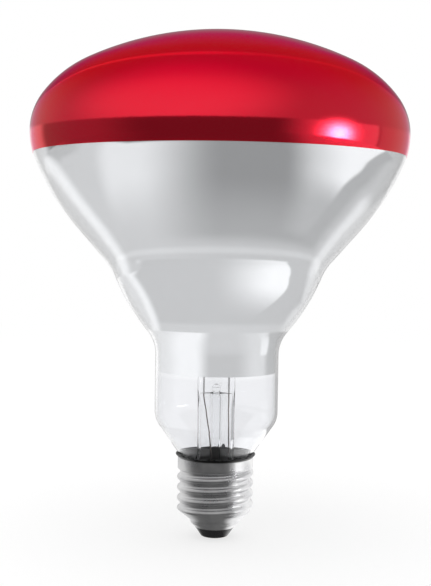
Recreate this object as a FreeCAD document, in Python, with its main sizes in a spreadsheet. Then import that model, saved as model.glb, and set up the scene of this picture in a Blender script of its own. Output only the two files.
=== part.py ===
import FreeCAD, Part
import math
import os
import Sketcher

# Infrared heat lamp bulb: blown reflector glass with a red lacquered front and
# a mirrored bowl, a glass stem that carries the filament, and an E27 screw cap.
# Millimetres, Z up, origin at the middle of the centre contact's end face.

doc = FreeCAD.newDocument("heat_lamp_bulb")

SIZES = {
    # bulb glass, from the crown down to the seal inside the cap
    "bulb_diameter": 126.6,
    "equator_height": 136.5,
    "front_radius": 103.8,
    "brow_radius": 36.8,
    "rim_radius": 20.0,
    "rim_span": 36.0,
    "bowl_radius": 26.9,
    "bowl_span": 24.6,
    "flank_radius": 84.7,
    "flank_angle": 41.5,
    "waist_radius": 16.8,
    "waist_span": 19.8,
    "throat_radius": 68.1,
    "throat_span": 18.5,
    "neck_fillet": 12.5,
    "neck_diameter": 42.0,
    "shoulder_radius": 8.0,
    "shoulder_angle": 35.0,
    "lip_glass_diameter": 25.1,
    "seat_fillet": 3.0,
    "seat_play": 0.3539862,
    "seal_height": 21.0,
    "glass_wall": 0.9,
    # lacquer on the front and mirror film in the bowl
    "red_skirt": 7.0,
    "lacquer_film": 0.2,
    "mirror_overlap": 5.45059,
    "mirror_film": 0.15,
    # glass stem: flare, tube, press, exhaust tube and arbor
    "stem_diameter": 12.6,
    "stem_wall": 1.0,
    "flare_rim": 1.6,
    "flare_rise": 9.0,
    "pinch_height": 44.0,
    "press_height": 50.0,
    "press_top": 57.5,
    "press_width": 12.8,
    "press_depth": 5.2,
    "press_throat": 1.2,
    "exhaust_diameter": 4.2,
    "exhaust_bore": 2.6,
    "exhaust_tip_height": 10.0,
    "blow_hole_height": 51.0,
    "blow_hole_diameter": 2.8,
    "arbor_diameter": 3.0,
    "arbor_height": 80.0,
    "button_diameter": 6.0,
    # wires and filament
    "lead_spread": 8.3,
    "seal_wire_diameter": 0.6,
    "inner_lead_diameter": 0.9,
    "outer_lead_diameter": 0.4,
    "lead_tail": 1.0,
    "lead_gap": 0.5,
    "lead_bend_height": 33.5,
    "lead_bend_offset": 1.9,
    "shell_lead_lean": 0.4,
    "lip_lead_gap": 0.025,
    "filament_height": 94.0,
    "filament_ring": 28.0,
    "filament_gap": 50.0,
    "coil_diameter": 0.9,
    "support_diameter": 0.4,
    "support_seat": 1.6,
    # cap
    "cap_height": 28.4,
    "shell_wall": 0.3,
    "lip_diameter": 27.2,
    "lip_edge": 0.2,
    "collar_diameter": 25.7,
    "collar_base": 23.9,
    "thread_diameter": 26.1,
    "thread_pitch": 3.629,
    "thread_round": 1.025,
    "thread_land": 0.05,
    "thread_start": 3.984,
    "thread_turns": 5.6,
    "shell_base": 9.3,
    "shell_step_diameter": 16.8,
    "shell_step": 0.8,
    "shell_end_diameter": 13.8,
    "insulator_end_diameter": 9.2,
    "insulator_end": 0.1,
    "insulator_round": 0.5,
    "contact_diameter": 8.4,
    "contact_thickness": 0.6,
    "rivet_diameter": 3.0,
    "cement_drop": 0.3,
    "cement_base": 24.2,
    "solder_diameter": 2.0,
    "solder_rise": 0.1,
    "shell_lead_angle": 75.0,
}

sheet = doc.addObject("Spreadsheet::Sheet", "Sizes")
for row, (alias, value) in enumerate(SIZES.items(), start=1):
    sheet.set(f"A{row}", alias)
    sheet.set(f"B{row}", str(value))
    sheet.setAlias(f"B{row}", alias)
doc.recompute()


class Size:
    """A number together with the document expression that gives it."""

    def __init__(self, value, text):
        self.value = value
        self.text = text

    @staticmethod
    def of(other):
        return other if isinstance(other, Size) else Size(float(other), f"{float(other):.9g}")

    def join(self, other, sign, value):
        return Size(value, f"({self.text} {sign} {other.text})")

    def __add__(self, other):
        other = Size.of(other)
        return self.join(other, "+", self.value + other.value)

    def __sub__(self, other):
        other = Size.of(other)
        return self.join(other, "-", self.value - other.value)

    def __mul__(self, other):
        other = Size.of(other)
        return self.join(other, "*", self.value * other.value)

    def __truediv__(self, other):
        other = Size.of(other)
        return self.join(other, "/", self.value / other.value)

    def __radd__(self, other):
        return Size.of(other) + self

    def __rsub__(self, other):
        return Size.of(other) - self

    def __rmul__(self, other):
        return Size.of(other) * self

    def __neg__(self):
        return Size.of(0) - self


def size(alias):
    return Size(float(sheet.get(alias)), f"Sizes.{alias}")


def sin(angle):
    return Size(math.sin(math.radians(angle.value)), f"sin({angle.text} * 1 deg)")


def cos(angle):
    return Size(math.cos(math.radians(angle.value)), f"cos({angle.text} * 1 deg)")


def sqrt(number):
    return Size(math.sqrt(number.value), f"sqrt({number.text})")


ZERO = Size.of(0)
nodes = []


def keep(obj, name):
    """Give a finished sub-part its name and list it for the export."""
    obj.Label = name
    nodes.append(obj)
    return obj


# Sketches and turned bodies

def draw_outline(sketch, corners):
    """Draw a closed outline whose corners and radii follow the sheet.

    Each corner is (x, y, bend); bend is None for a straight edge to the next
    corner, or (radius, side), side +1 with the arc's centre to the left.
    """
    edges = []
    for i, (x, y, bend) in enumerate(corners):
        nx, ny, _ = corners[(i + 1) % len(corners)]
        p = FreeCAD.Vector(x.value, y.value, 0)
        q = FreeCAD.Vector(nx.value, ny.value, 0)
        if bend is None:
            edges.append((sketch.addGeometry(Part.LineSegment(p, q), False), 1, 2))
            continue
        radius, side = bend
        half = (q - p) / 2
        rise = math.sqrt(radius.value ** 2 - half.Length ** 2)
        left = FreeCAD.Vector(-half.y, half.x, 0).normalize()
        centre = p + half + left * (side * rise)
        circle = Part.Circle(centre, FreeCAD.Vector(0, 0, 1), radius.value)
        start = math.atan2(p.y - centre.y, p.x - centre.x)
        end = math.atan2(q.y - centre.y, q.x - centre.x)
        if side < 0:
            start, end = end, start
        geo = sketch.addGeometry(Part.ArcOfCircle(circle, start, end), False)
        edges.append((geo, 1, 2) if side > 0 else (geo, 2, 1))
    for (geo, _, last), (following, first, _) in zip(edges, edges[1:] + edges[:1]):
        sketch.addConstraint(Sketcher.Constraint("Coincident", geo, last, following, first))
    for (x, y, bend), (geo, first, _) in zip(corners, edges):
        if x is ZERO:
            sketch.addConstraint(Sketcher.Constraint("PointOnObject", geo, first, -2))
        else:
            bind(sketch, Sketcher.Constraint("DistanceX", -1, 1, geo, first, x.value), x)
        if y is ZERO:
            sketch.addConstraint(Sketcher.Constraint("PointOnObject", geo, first, -1))
        else:
            bind(sketch, Sketcher.Constraint("DistanceY", -1, 1, geo, first, y.value), y)
        if bend is not None:
            bind(sketch, Sketcher.Constraint("Radius", geo, bend[0].value), bend[0])


def bind(sketch, constraint, value):
    index = sketch.addConstraint(constraint)
    sketch.setExpression(f"Constraints[{index}]", value.text)


def origin_plane(body, role):
    return next(f for f in body.Origin.OriginFeatures if f.Role == role)


def turned_body(name, corners):
    """A body turned about Z from a half section (x = radius, y = height)."""
    body = doc.addObject("PartDesign::Body", name)
    sketch = body.newObject("Sketcher::SketchObject", name + "_section")
    sketch.AttachmentSupport = [(origin_plane(body, "XZ_Plane"), "")]
    sketch.MapMode = "FlatFace"
    draw_outline(sketch, corners)
    turn = body.newObject("PartDesign::Revolution", name + "_turn")
    turn.Profile = sketch
    turn.ReferenceAxis = (sketch, ["V_Axis"])
    turn.Angle = 360
    body.Tip = turn
    return body


def boolean(kind, name, base, tools):
    """A Part boolean of a base with one or more tools."""
    if kind == "Part::Cut" and len(tools) > 1:
        tools = [boolean("Part::MultiFuse", name + "_tools", tools[0], tools[1:])]
    obj = doc.addObject(kind, name)
    if kind == "Part::MultiFuse":
        obj.Shapes = [base] + list(tools)
    else:
        obj.Base = base
        obj.Tool = tools[0]
    return obj


def bent_wire(name, points, radius, bend):
    """A round wire along straight runs joined by tangent arcs."""
    points = [FreeCAD.Vector(*p) for p in points]
    edges = []
    start = points[0]
    for before, corner, after in zip(points, points[1:], points[2:]):
        a = (before - corner).normalize()
        b = (after - corner).normalize()
        half = a.getAngle(b) / 2
        reach = bend / math.tan(half)
        middle = corner + (a + b).normalize() * (bend / math.sin(half) - bend)
        edges.append(Part.makeLine(start, corner + a * reach))
        edges.append(Part.Arc(corner + a * reach, middle, corner + b * reach).toShape())
        start = corner + b * reach
    edges.append(Part.makeLine(start, points[-1]))
    ring = Part.Wire(Part.makeCircle(radius, points[0], points[1] - points[0]))
    obj = doc.addObject("Part::Feature", name)
    obj.Shape = Part.Wire(edges).makePipeShell([ring], True, False)
    return obj


def place(obj, height):
    """Set an object's height from the sheet."""
    obj.setExpression("Placement.Base.z", height.text)


# Bulb glass: a seat that leaves room for a lead inside the thread, and the mould line

crest = size("thread_diameter") / 2
pitch = size("thread_pitch")
rounding = size("thread_round")
spacing = sqrt(4 * rounding * rounding - pitch * pitch / 4)
root = crest - 2 * rounding + spacing
sheet_wall = size("shell_wall")
seat = root - sheet_wall - size("outer_lead_diameter") - size("seat_play")


class MouldLine:
    """Corners of the bulb's outer line, each with the direction it faces."""

    def __init__(self):
        equator = size("equator_height")
        girth = size("bulb_diameter") / 2
        neck = size("neck_diameter") / 2
        rim, brow, front = size("rim_radius"), size("brow_radius"), size("front_radius")
        span = size("rim_span")
        brow_r = girth - rim - (brow - rim) * cos(span)
        brow_z = equator - (brow - rim) * sin(span)
        reach = front - brow
        front_z = brow_z - sqrt(reach * reach - brow_r * brow_r)
        crown_cos = brow_r / reach
        crown_sin = sqrt(1 - crown_cos * crown_cos)
        up = (ZERO, Size.of(1))
        crown = (crown_cos, crown_sin)
        browed = (cos(span), sin(span))
        side = (Size.of(1), ZERO)
        bowl = self.facing(size("bowl_span"))
        flank = self.facing(size("flank_angle"))
        waist = self.facing(size("flank_angle") - size("waist_span"))
        throat = self.facing(size("flank_angle") - size("waist_span") + size("throat_span"))
        shoulder = self.facing(size("shoulder_angle"))
        self.items = [(ZERO, front_z + front, up, (front, -1))]
        self.items.append((crown[0] * front, front_z + crown[1] * front, crown, (brow, -1)))
        self.items.append((brow_r + browed[0] * brow, brow_z + browed[1] * brow, browed, (rim, -1)))
        self.items.append((girth, equator, side, (size("bowl_radius"), -1)))
        self.turn(size("bowl_radius"), side, bowl, (size("flank_radius"), -1))
        self.turn(size("flank_radius"), bowl, flank, None)
        steps = [(size("waist_radius"), flank, waist, 1), (size("throat_radius"), waist, throat, -1),
                 (size("neck_fillet"), throat, side, 1)]
        inward = sum_of(self.step(radius, a, b, s)[0] for radius, a, b, s in steps)
        run = (self.items[-1][0] - neck - inward) / (-flank[1])
        start = self.items[-1]
        self.items.append((start[0] + flank[1] * run, start[1] - flank[0] * run, flank,
                           (size("waist_radius"), 1)))
        self.turn(size("waist_radius"), flank, waist, (size("throat_radius"), -1), 1)
        self.turn(size("throat_radius"), waist, throat, (size("neck_fillet"), 1))
        self.turn(size("neck_fillet"), throat, side, None, 1)
        self.items[-1] = (neck,) + self.items[-1][1:]
        cone = neck - seat - (size("shoulder_radius") + size("seat_fillet")) * (1 - shoulder[0])
        drop = (size("shoulder_radius") + size("seat_fillet")) * (-shoulder[1])
        slope = shoulder[0] / (-shoulder[1])
        fillet = size("seat_fillet")
        fillet_start = seat + fillet * (1 - shoulder[0])
        seat_top = size("cap_height") - (size("lip_glass_diameter") / 2 - fillet_start) * slope
        seat_top = seat_top - fillet * (-shoulder[1])
        neck_end = seat_top + drop + cone * slope
        self.items.append((neck, neck_end, side, (size("shoulder_radius"), -1)))
        self.turn(size("shoulder_radius"), side, shoulder, None)
        self.items.append((fillet_start, seat_top + fillet * (-shoulder[1]), shoulder, (fillet, 1)))
        self.items.append((seat, seat_top, side, None))
        self.items.append((seat, size("seal_height"), side, None))

    @staticmethod
    def facing(angle):
        """Outward direction of a line that leans in by an angle going down."""
        return (cos(angle), -sin(angle))

    @staticmethod
    def step(radius, a, b, hollow):
        """How far in and down an arc goes while its facing turns from a to b."""
        return ((a[0] - b[0]) * radius * -hollow, (a[1] - b[1]) * radius * -hollow)

    def turn(self, radius, a, b, bend, hollow=-1):
        """Add the end of an arc that starts at the last corner."""
        inward, down = self.step(radius, a, b, hollow)
        x, y = self.items[-1][:2]
        self.items.append((x - inward, y - down, b, bend))

    def line(self, depth, first=0, last=None):
        """Corners from first to last, pushed inward by a depth."""
        corners = []
        for x, y, (fx, fy), bend in self.items[first:last]:
            if bend is not None:
                radius, side = bend
                bend = (radius + depth * side, side)
            x = x if x is ZERO else x - fx * depth
            corners.append((x, y if fy is ZERO else y - fy * depth, bend))
        return corners


def sum_of(sizes):
    total = None
    for item in sizes:
        total = item if total is None else total + item
    return total


def back(corners):
    """The same line walked from its end to its start."""
    bends = [corner[2] for corner in corners[:-1]]
    flipped = [bend and (bend[0], -bend[1]) for bend in bends]
    flipped = [None] + flipped
    return [(x, y, bend) for (x, y, _), bend in zip(reversed(corners), reversed(flipped))]


def ended(corners, x, y):
    """A line with its last corner moved to a new end."""
    return corners[:-1] + [(x, y, None)]


mould = MouldLine()
CROWN, EQUATOR, NECK_TOP, NECK_END, CONE_END = 0, 3, 9, 10, 12
wall = size("glass_wall")

outer = mould.line(ZERO)
inner = mould.line(wall)
glass_bulb = keep(turned_body("glass_bulb", outer + back(inner)), "glass_bulb")

# Mirror film inside the bowl, from the equator to its edge in the neck
film = size("mirror_film")
edge = mould.items[NECK_TOP][1] - size("mirror_overlap")
neck_radius = size("neck_diameter") / 2 - wall
mirror_out = ended(mould.line(wall, EQUATOR, NECK_END + 1), neck_radius, edge)
mirror_in = ended(mould.line(wall + film, EQUATOR, NECK_END + 1), neck_radius - film, edge)
mirror_coat = keep(turned_body("mirror_coat", mirror_out + back(mirror_in)), "mirror_coat")

# Red lacquer over the front, down to its edge below the equator
lacquer = size("lacquer_film")
red_edge = size("equator_height") - size("red_skirt")


def skirt_radius(depth):
    bowl = size("bowl_radius") - depth
    skirt = size("red_skirt")
    return size("bulb_diameter") / 2 - size("bowl_radius") + sqrt(bowl * bowl - skirt * skirt)


red_out = ended(mould.line(-lacquer, CROWN, EQUATOR + 2), skirt_radius(-lacquer), red_edge)
red_in = ended(mould.line(ZERO, CROWN, EQUATOR + 2), skirt_radius(ZERO), red_edge)
red_front_coat = keep(turned_body("red_front_coat", red_out + back(red_in)), "red_front_coat")

# Cap shell: flared lip, smooth collar, rolled thread and stepped foot in one sheet
MITRE = math.tan(math.radians(22.5))
DIAGONAL = math.sqrt(2)
lip = size("lip_diameter") / 2
collar = size("collar_diameter") / 2
core = root + size("thread_land")
foot = size("shell_step_diameter") / 2
mouth = size("shell_end_diameter") / 2
cap_top = size("cap_height")
lip_foot = cap_top - size("lip_edge") - (lip - collar)
collar_base = size("collar_base")
thread_base = size("shell_base")
foot_top = thread_base - (core - foot)
foot_base = foot_top - size("shell_step")
mouth_height = foot_base - (foot - mouth)
BEYOND = 1.0


def shell_wall_line(depth):
    """Corners from under the lip down to the foot, at a depth in the sheet."""
    rise = MITRE * depth
    return [(collar - depth, lip_foot + rise),
            (collar - depth, collar_base + rise),
            (core - depth, collar_base - (collar - core) + rise),
            (core - depth, thread_base + rise),
            (foot - depth, foot_top + rise),
            (foot - depth, foot_base + rise)]


def straight(points):
    return [(x, y, None) for x, y in points]


def thread_ridge(name, depth):
    """The thread as a solid ridge at a depth in the sheet, faded at both ends."""
    helix = doc.addObject("Part::Helix", name + "_path")
    helix.setExpression("Pitch", pitch.text)
    helix.setExpression("Height", (pitch * size("thread_turns")).text)
    helix.setExpression("Radius", core.text)
    place(helix, size("thread_start"))
    crown, hollow = rounding - depth, rounding + depth
    sink = size("thread_land") / 5
    reach = pitch / 2 - sqrt(2 * hollow * sink - sink * sink)
    side_x = root - depth + sink
    joint_x = crest - rounding + spacing * crown / (2 * rounding)
    joint_y = pitch / 4 * crown / rounding
    base_x = core - depth - 0.5
    section = doc.addObject("Sketcher::SketchObject", name + "_section")
    upright = FreeCAD.Rotation(FreeCAD.Vector(1, 0, 0), 90)
    section.Placement = FreeCAD.Placement(FreeCAD.Vector(0, 0, 0), upright)
    place(section, size("thread_start"))
    draw_outline(section, [(base_x, -reach, None),
                           (side_x, -reach, (hollow, -1)),
                           (joint_x, -joint_y, (crown, 1)),
                           (joint_x, joint_y, (hollow, -1)),
                           (side_x, reach, None),
                           (base_x, reach, None)])
    sweep = doc.addObject("Part::Sweep", name + "_sweep")
    sweep.Sections = [section]
    sweep.Spine = (helix, ["Edge1"])
    sweep.Solid = True
    sweep.Frenet = True
    rise = MITRE * depth
    widest = crest - depth + 0.3
    fade_top = collar_base - 0.3 + rise
    fade_base = thread_base + 0.5 + rise
    inset = 0.85 * (core - foot)
    run_x = widest - (core - depth - inset)
    run_y = fade_base - (thread_base + rise - inset)
    limit = turned_body(name + "_limit", straight([
        (ZERO, fade_top + 0.6),
        (collar - depth - 0.6, fade_top + 0.6),
        (widest, fade_top - (widest - (collar - depth))),
        (widest, fade_base),
        (widest - 1.2 * run_x, fade_base - 1.2 * run_y),
        (ZERO, fade_base - 1.2 * run_y)]))
    return boolean("Part::Common", name, sweep, [limit])


blank = turned_body("shell_blank", straight(
    [(ZERO, cap_top), (lip, cap_top), (lip, cap_top - size("lip_edge"))]
    + shell_wall_line(ZERO)
    + [(mouth - 0.3, mouth_height - 0.3), (ZERO, mouth_height - 0.3)]))
flare_in = lip + size("lip_edge") - DIAGONAL * sheet_wall
cavity = turned_body("shell_cavity", straight(
    [(ZERO, cap_top + BEYOND), (flare_in + BEYOND, cap_top + BEYOND)]
    + shell_wall_line(sheet_wall)
    + [(mouth, mouth_height + DIAGONAL * sheet_wall), (mouth, mouth_height - BEYOND),
       (ZERO, mouth_height - BEYOND)]))
threaded = boolean("Part::MultiFuse", "shell_outside", blank, [thread_ridge("outer_ridge", ZERO)])
hollowed = boolean("Part::MultiFuse", "shell_inside", cavity, [thread_ridge("inner_ridge", sheet_wall)])
cap_shell = keep(boolean("Part::Cut", "cap_shell", threaded, [hollowed]), "cap_shell")

# Black glass insulator cast into the shell's foot, with the contact plate under it


def rounded(before, corner, after, radius):
    """Two corners and an arc in place of a sharp corner."""
    a = (before[0] - corner[0], before[1] - corner[1])
    b = (after[0] - corner[0], after[1] - corner[1])
    along = sqrt(a[0] * a[0] + a[1] * a[1])
    onward = sqrt(b[0] * b[0] + b[1] * b[1])
    cosine = (a[0] * b[0] + a[1] * b[1]) / (along * onward)
    reach = radius * sqrt((1 + cosine) / (1 - cosine))
    side = 1 if a[0].value * b[1].value - a[1].value * b[0].value < 0 else -1
    return [(corner[0] + a[0] / along * reach, corner[1] + a[1] / along * reach, (radius, side)),
            (corner[0] + b[0] / onward * reach, corner[1] + b[1] / onward * reach, None)]


rivet = size("rivet_diameter") / 2
contact = size("contact_diameter") / 2
contact_top = size("contact_thickness")
insulator_end = size("insulator_end")
insulator_edge = (size("insulator_end_diameter") / 2, insulator_end)
seat_rise = MITRE * sheet_wall
insulator = straight([(rivet, foot_top + seat_rise), (foot - sheet_wall, foot_top + seat_rise),
                      (foot - sheet_wall, foot_base + seat_rise),
                      (mouth, mouth_height + DIAGONAL * sheet_wall), (mouth, mouth_height)])
insulator += rounded((mouth, mouth_height), insulator_edge, (contact, insulator_end),
                     size("insulator_round"))
insulator += straight([(contact, insulator_end), (contact, contact_top), (rivet, contact_top)])
cap_insulator = keep(turned_body("cap_insulator", insulator), "cap_insulator")
contact_rim = rounded((ZERO, ZERO), (contact, ZERO), (contact, contact_top), insulator_end)
centre_contact = keep(turned_body("centre_contact", [(ZERO, ZERO, None)] + contact_rim + straight(
    [(contact, contact_top), (ZERO, contact_top)])), "centre_contact")

# Glass stem: flare sealed to the bulb's end, tube, and a press pinched flat above it
seal = size("seal_height")
flare = seat - wall
tube = size("stem_diameter") / 2
bore = tube - size("stem_wall")
flare_foot = seal + size("flare_rim")
flare_top = seal + size("flare_rise")
flare_bore = flare - size("stem_wall")
pinch = size("pinch_height")
press_base = size("press_height")
press_top = size("press_top")
hollow_top = press_base - size("stem_wall")


def bell(width, height):
    """Radius of an arc that leaves the tube straight up and spreads by a width."""
    return (width * width + height * height) / (2 * width)


stem_tube = turned_body("stem_tube", [
    (flare_bore, seal, None),
    (flare, seal, None),
    (flare, flare_foot, (bell(flare - tube, flare_top - flare_foot), -1)),
    (tube, flare_top, None),
    (tube, pinch, None),
    (bore, pinch, None),
    (bore, flare_top, (bell(flare_bore - bore, flare_top - seal), 1))])


def oval(name, height, half_width, half_depth):
    """An ellipse across the stem, its long axis along X."""
    obj = doc.addObject("Part::Ellipse", name)
    obj.setExpression("MajorRadius", half_width.text)
    obj.setExpression("MinorRadius", half_depth.text)
    place(obj, height)
    return obj


def circle(name, height, radius):
    obj = doc.addObject("Part::Circle", name)
    obj.setExpression("Radius", radius.text)
    place(obj, height)
    return obj


def pinched(name, low, high):
    """The tube's round end drawn flat between two outlines."""
    loft = doc.addObject("Part::Loft", name)
    loft.Sections = [low, high]
    loft.Solid = True
    return loft


def rod(name, radius, height, low):
    """A plain round rod standing on Z."""
    obj = doc.addObject("Part::Cylinder", name)
    obj.setExpression("Radius", radius.text)
    obj.setExpression("Height", height.text)
    place(obj, low)
    return obj


press_half = size("press_width") / 2
press_depth = size("press_depth") / 2
pinch_out = pinched("pinch_outside", circle("pinch_foot", pinch, tube),
                    oval("pinch_top", press_base, press_half, press_depth))
pinch_in = pinched("pinch_inside", circle("hollow_foot", pinch, bore),
                   oval("hollow_head", hollow_top, press_half - size("stem_wall"), size("press_throat")))
press = doc.addObject("Part::Extrusion", "press_block")
press.Base = oval("press_oval", press_base, press_half, press_depth)
press.Dir = FreeCAD.Vector(0, 0, 1)
press.Solid = True
press.setExpression("LengthFwd", (press_top - press_base).text)
exhaust = size("exhaust_diameter") / 2
exhaust_bore = size("exhaust_bore") / 2
exhaust_top = hollow_top
blow_height = size("blow_hole_height")
exhaust_seat = rod("exhaust_seat", exhaust, exhaust_top - pinch, pinch)
channel = rod("exhaust_channel", exhaust_bore, blow_height - pinch, pinch)
blow_hole = rod("blow_hole", size("blow_hole_diameter") / 2, size("press_depth"), blow_height)
blow_hole.Placement.Rotation = FreeCAD.Rotation(FreeCAD.Vector(1, 0, 0), 90)

# Lead wires: an outer lead, a seal wire through the press and an inner lead on each side
spread = size("lead_spread") / 2
sides = {"left": -1, "right": 1}
seal_wires = []
for side_name, sign in sides.items():
    wire = rod("seal_wire_" + side_name, size("seal_wire_diameter") / 2, press_top - hollow_top, hollow_top)
    wire.setExpression("Placement.Base.x", (spread * sign).text)
    seal_wires.append(keep(wire, "seal_wire_" + side_name))

stem_solid = boolean("Part::MultiFuse", "stem_solid", stem_tube, [pinch_out, press])
glass_stem = keep(boolean("Part::Cut", "glass_stem", stem_solid,
                          [pinch_in, exhaust_seat, channel, blow_hole] + seal_wires), "glass_stem")

# Exhaust tube, drawn to a closed tip inside the cap
tip = size("exhaust_tip_height")
exhaust_tube = keep(turned_body("exhaust_tube", [
    (ZERO, tip, (exhaust, 1)),
    (exhaust, tip + exhaust, None),
    (exhaust, exhaust_top, None),
    (exhaust_bore, exhaust_top, None),
    (exhaust_bore, tip + exhaust, (exhaust_bore, -1)),
    (ZERO, tip + exhaust - exhaust_bore, None)]), "exhaust_tube")

# Filament ring, open at the front, held by the inner leads and four supports
ring = size("filament_ring") / 2
coil = size("coil_diameter") / 2
gap = size("filament_gap")
coil_height = size("filament_height")
filament = doc.addObject("Part::Torus", "filament")
filament.setExpression("Radius1", ring.text)
filament.setExpression("Radius2", coil.text)
filament.setExpression("Angle3", (360 - gap).text)
filament.Placement.Rotation = FreeCAD.Rotation(FreeCAD.Vector(0, 0, 1), gap.value / 2 - 90)
place(filament, coil_height)
keep(filament, "filament")
LOOP_PLAY = 0.004


def loop_on_coil(name, wire_radius, azimuth):
    """A closed wire loop round the coil, and the point at its lowest middle."""
    turn = math.radians(azimuth)
    centre = FreeCAD.Vector(ring.value * math.cos(turn), ring.value * math.sin(turn), coil_height.value)
    along = FreeCAD.Vector(-math.sin(turn), math.cos(turn), 0)
    size_of_loop = coil.value + LOOP_PLAY + wire_radius
    obj = doc.addObject("Part::Feature", name)
    obj.Shape = Part.makeTorus(size_of_loop, wire_radius, centre, along)
    return obj, centre - FreeCAD.Vector(0, 0, size_of_loop)


inner_lead = size("inner_lead_diameter") / 2
LEAD_END_TURN = 4.0
for side_name, sign in sides.items():
    azimuth = -90 + sign * (gap.value / 2 + LEAD_END_TURN)
    loop, low = loop_on_coil("inner_loop_" + side_name, inner_lead.value, azimuth)
    start = FreeCAD.Vector(sign * spread.value, 0, press_top.value)
    rising = FreeCAD.Vector(low.x, low.y, low.z - 8)
    shank = bent_wire("inner_shank_" + side_name,
                      [start, start + FreeCAD.Vector(0, 0, 5), rising, low], inner_lead.value, 3.0)
    keep(boolean("Part::MultiFuse", "inner_lead_" + side_name, shank, [loop]), "inner_lead_" + side_name)

support = size("support_diameter") / 2
SUPPORTS = 4
button_height = size("arbor_height")
support_wires = []
for i in range(SUPPORTS):
    azimuth = -90 + gap.value / 2 + (360 - gap.value) * (i + 1) / (SUPPORTS + 1)
    turn = math.radians(azimuth)
    loop, low = loop_on_coil(f"support_loop_{i + 1}", support.value, azimuth)
    seat_r = size("support_seat").value
    start = FreeCAD.Vector(seat_r * math.cos(turn), seat_r * math.sin(turn), button_height.value)
    shank = bent_wire(f"support_shank_{i + 1}", [start, low], support.value, 1.0)
    wire = boolean("Part::MultiFuse", f"support_wire_{i + 1}", shank, [loop])
    support_wires.append(keep(wire, f"support_wire_{i + 1}"))

# Glass arbor on the press, its button melted round the supports
arbor = size("arbor_diameter") / 2
button = size("button_diameter") / 2
arbor_rod = turned_body("arbor_rod", [
    (ZERO, press_top, None),
    (arbor, press_top, None),
    (arbor, button_height - sqrt(button * button - arbor * arbor), (button, 1)),
    (button, button_height, (button, 1)),
    (ZERO, button_height + button, None)])
glass_arbor = keep(boolean("Part::Cut", "glass_arbor", arbor_rod, support_wires), "glass_arbor")

# Outer leads: one to the centre contact, one up between glass and shell to the lip
outer_lead = size("outer_lead_diameter") / 2
lead_start = hollow_top - size("lead_tail")
beside_tube = exhaust + outer_lead + size("lead_gap")
BEND = 1.5


def point(*sizes):
    return tuple(Size.of(each).value for each in sizes)


centre_lead = keep(bent_wire("centre_lead", [
    point(-spread, 0, hollow_top),
    point(-spread, 0, lead_start),
    point(-size("lead_bend_offset"), -beside_tube, size("lead_bend_height")),
    point(0, -beside_tube, tip - 0.5),
    point(0, 0, tip - 4.5),
    point(0, 0, contact_top + 0.6)], outer_lead.value, BEND), "centre_lead")
shoulder = size("shoulder_angle")
tilt = sin(shoulder) / cos(shoulder)
shell_way = size("shell_lead_angle")
lead_side = spread + size("shell_lead_lean")
lead_seat = seat + outer_lead + size("lead_gap") / 3
beside_cone = size("lip_glass_diameter") / 2 + (outer_lead + size("lip_lead_gap")) / cos(shoulder)
lead_knee = cap_top - (beside_cone - lead_seat) / tilt
lead_end = beside_cone + BEYOND / 2 * tilt
under_seal = seal - 1.7
shell_lead = keep(bent_wire("shell_lead", [
    point(spread, 0, hollow_top),
    point(spread, 0, lead_start),
    point(lead_side, 0, flare_top),
    point(lead_side, 0, under_seal),
    point(lead_seat * cos(shell_way), lead_seat * sin(shell_way), under_seal),
    point(lead_seat * cos(shell_way), lead_seat * sin(shell_way), lead_knee),
    point(lead_end * cos(shell_way), lead_end * sin(shell_way), cap_top + BEYOND / 2)],
    outer_lead.value, BEND), "shell_lead")

# Basing cement between the glass and the collar, up into the flared lip
cement_wall = collar - sheet_wall
cement_top = cap_top - size("cement_drop")
flare_base = lip_foot + seat_rise
glass_side = [(size("lip_glass_diameter") / 2 - size("cement_drop") * tilt, cement_top, None)]
glass_side += mould.line(ZERO, CONE_END, CONE_END + 2)
cement_ring = turned_body("cement_ring", straight([
    (seat, size("cement_base")),
    (cement_wall, size("cement_base")),
    (cement_wall, flare_base),
    (cement_wall + cement_top - flare_base, cement_top)]) + glass_side)
basing_cement = keep(boolean("Part::Cut", "basing_cement", cement_ring, [shell_lead]), "basing_cement")

# Solder: a plug round the lead on the contact plate, a bead on the lip
solder_plug = rod("solder_plug", rivet, Size.of(2), contact_top)
keep(boolean("Part::Cut", "contact_solder", solder_plug, [centre_lead]), "contact_solder")
bead = doc.addObject("Part::Sphere", "solder_bead")
bead.setExpression("Radius", (size("solder_diameter") / 2).text)
bead_r = lead_end
bead.setExpression("Placement.Base.x", (bead_r * cos(shell_way)).text)
bead.setExpression("Placement.Base.y", (bead_r * sin(shell_way)).text)
place(bead, cap_top + size("solder_rise"))
keep(boolean("Part::Cut", "lip_solder", bead, [cap_shell, basing_cement, shell_lead, glass_bulb]), "lip_solder")

doc.recompute()
for obj in doc.Objects:
    if "Invalid" in obj.State or "Error" in obj.State:
        raise RuntimeError(f"{obj.Label} did not build")
os.makedirs("parts", exist_ok=True)
for node in nodes:
    if node.Shape.isNull() or not node.Shape.isValid():
        raise RuntimeError(f"{node.Label} has no valid shape")
    node.Shape.exportStep(f"parts/{node.Label}.step")
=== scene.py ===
import math
import bpy
import numpy as np
from mathutils import Matrix


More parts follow.
